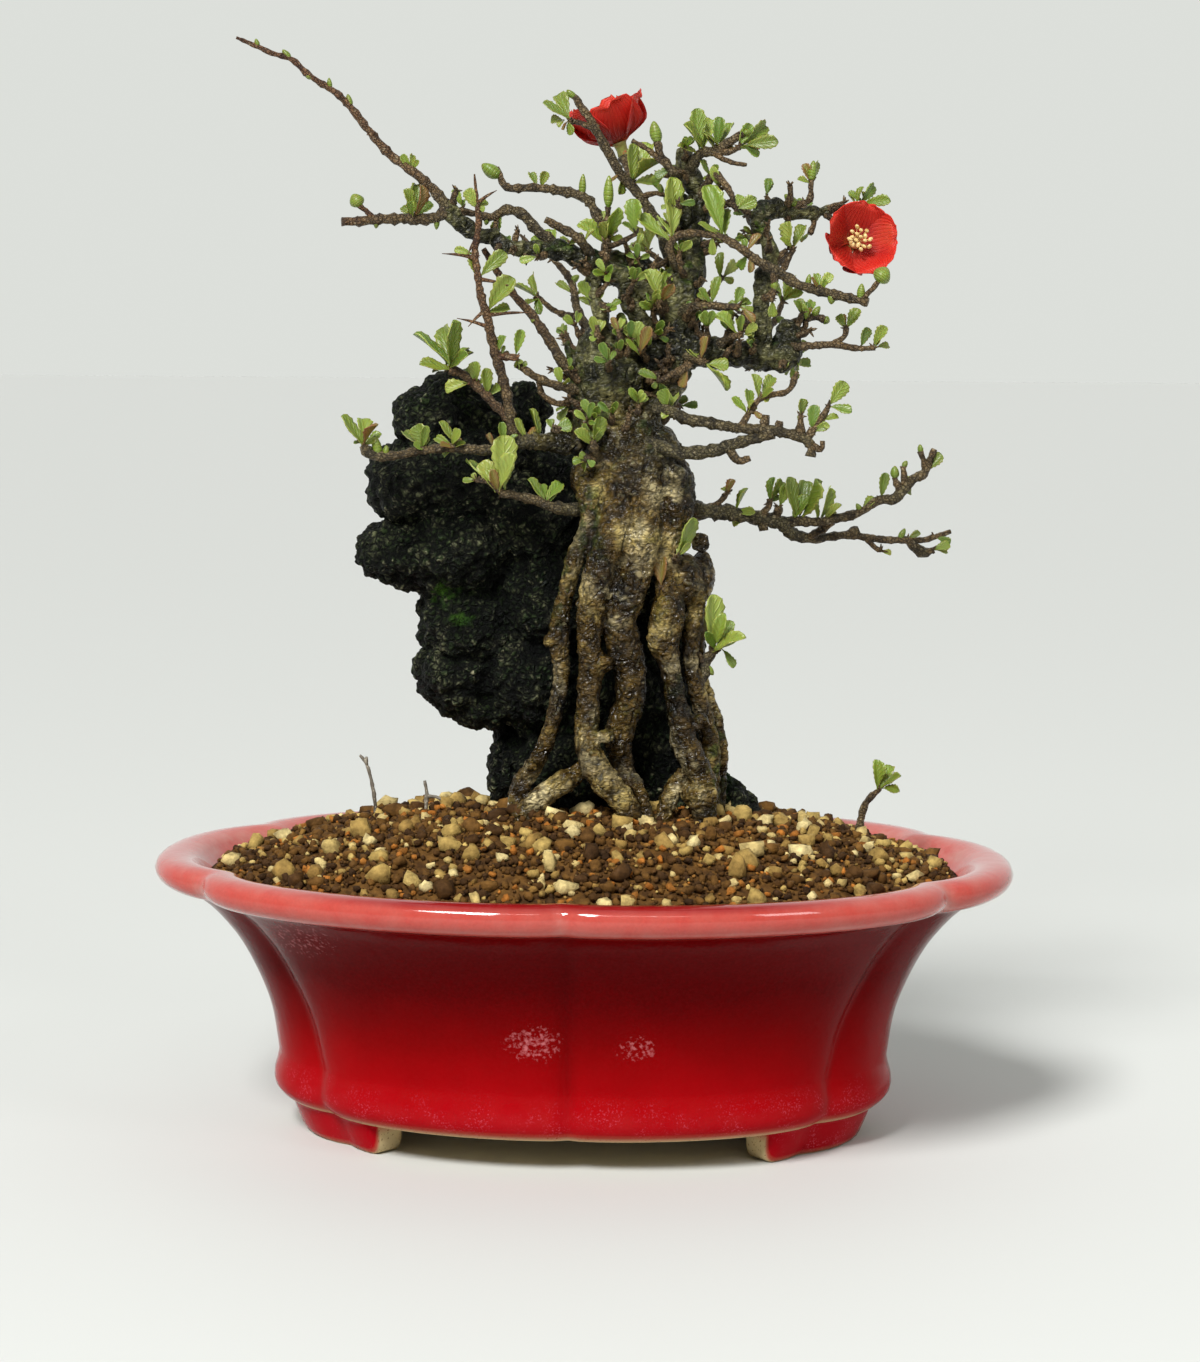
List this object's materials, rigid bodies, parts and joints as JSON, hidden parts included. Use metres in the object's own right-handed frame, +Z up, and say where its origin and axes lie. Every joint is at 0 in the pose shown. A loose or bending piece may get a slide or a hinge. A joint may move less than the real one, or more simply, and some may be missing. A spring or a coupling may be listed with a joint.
{
  "type": "flowering quince bonsai in a glazed pot",
  "caption": "Small flowering quince tree grown root over rock in a shallow glazed six-lobed pot with bracket feet.",
  "frame": {"origin": "on the surface the pot stands on, below the middle of the pot's outline", "axes": "+Z up, +X along the pot's long side, front towards -Y"},
  "size_m": [0.2284, 0.1666, 0.2891],
  "materials": {
    "glaze": "glossy crimson glaze, paler and pinkish on the rim and the belt, bare tan clay at the feet",
    "screen": "dark plastic drain netting",
    "soil": "granular mix of brown, tan, cream and orange grains",
    "rock": "very dark knobbly lava with moss",
    "bark": "wet brown bark with cream and tan patches, mossy higher up",
    "leafy_shoot": "brown shoots with yellow-green crenate leaves",
    "petal": "orange-red petals, satin",
    "stamen": "cream-yellow filaments and anthers",
    "dry_wood": "grey-brown dry stems"
  },
  "bodies": {
    "root": {"bloom_open_petals": "petal", "bloom_open_stamens": "stamen", "bloom_side_petals": "petal", "bloom_side_stamens": "stamen", "drain_screen_left": "screen", "drain_screen_right": "screen", "dry_stem_left": "dry_wood", "dry_stem_middle": "dry_wood", "pot": "glaze", "rock": "rock", "soil": "soil", "soil_sprig": "leafy_shoot", "spray_apex_left": "leafy_shoot", "spray_apex_right_1": "leafy_shoot", "spray_apex_right_2": "leafy_shoot", "spray_back_centre": "leafy_shoot", "spray_back_left": "leafy_shoot", "spray_back_right": "leafy_shoot", "spray_branch_one": "leafy_shoot", "spray_burl_tuft_1": "leafy_shoot", "spray_burl_tuft_2": "leafy_shoot", "spray_crossing": "leafy_shoot", "spray_crown_front_1": "leafy_shoot", "spray_crown_front_2": "leafy_shoot", "spray_crown_front_3": "leafy_shoot", "spray_crown_front_4": "leafy_shoot", "spray_crown_left_1": "leafy_shoot", "spray_crown_left_2": "leafy_shoot", "spray_crown_left_3": "leafy_shoot", "spray_crown_left_4": "leafy_shoot", "spray_crown_left_5": "leafy_shoot", "spray_left_inner": "leafy_shoot", "spray_left_low_1": "leafy_shoot", "spray_left_low_2": "leafy_shoot", "spray_left_under": "leafy_shoot", "spray_long_right": "leafy_shoot", "spray_right_high_1": "leafy_shoot", "spray_right_high_2": "leafy_shoot", "spray_right_high_3": "leafy_shoot", "spray_right_middle_1": "leafy_shoot", "spray_right_middle_2": "leafy_shoot", "spray_right_middle_3": "leafy_shoot", "spray_root_tuft": "leafy_shoot", "spray_straight_shoot": "leafy_shoot", "spray_thorny": "leafy_shoot", "spray_trunk_tufts_1": "leafy_shoot", "spray_trunk_tufts_2": "leafy_shoot", "spray_upper_left_1": "leafy_shoot", "spray_upper_left_2": "leafy_shoot", "spray_upper_left_3": "leafy_shoot", "spray_whip": "leafy_shoot", "trunk_and_roots": "bark"}
  },
  "joints": []
}
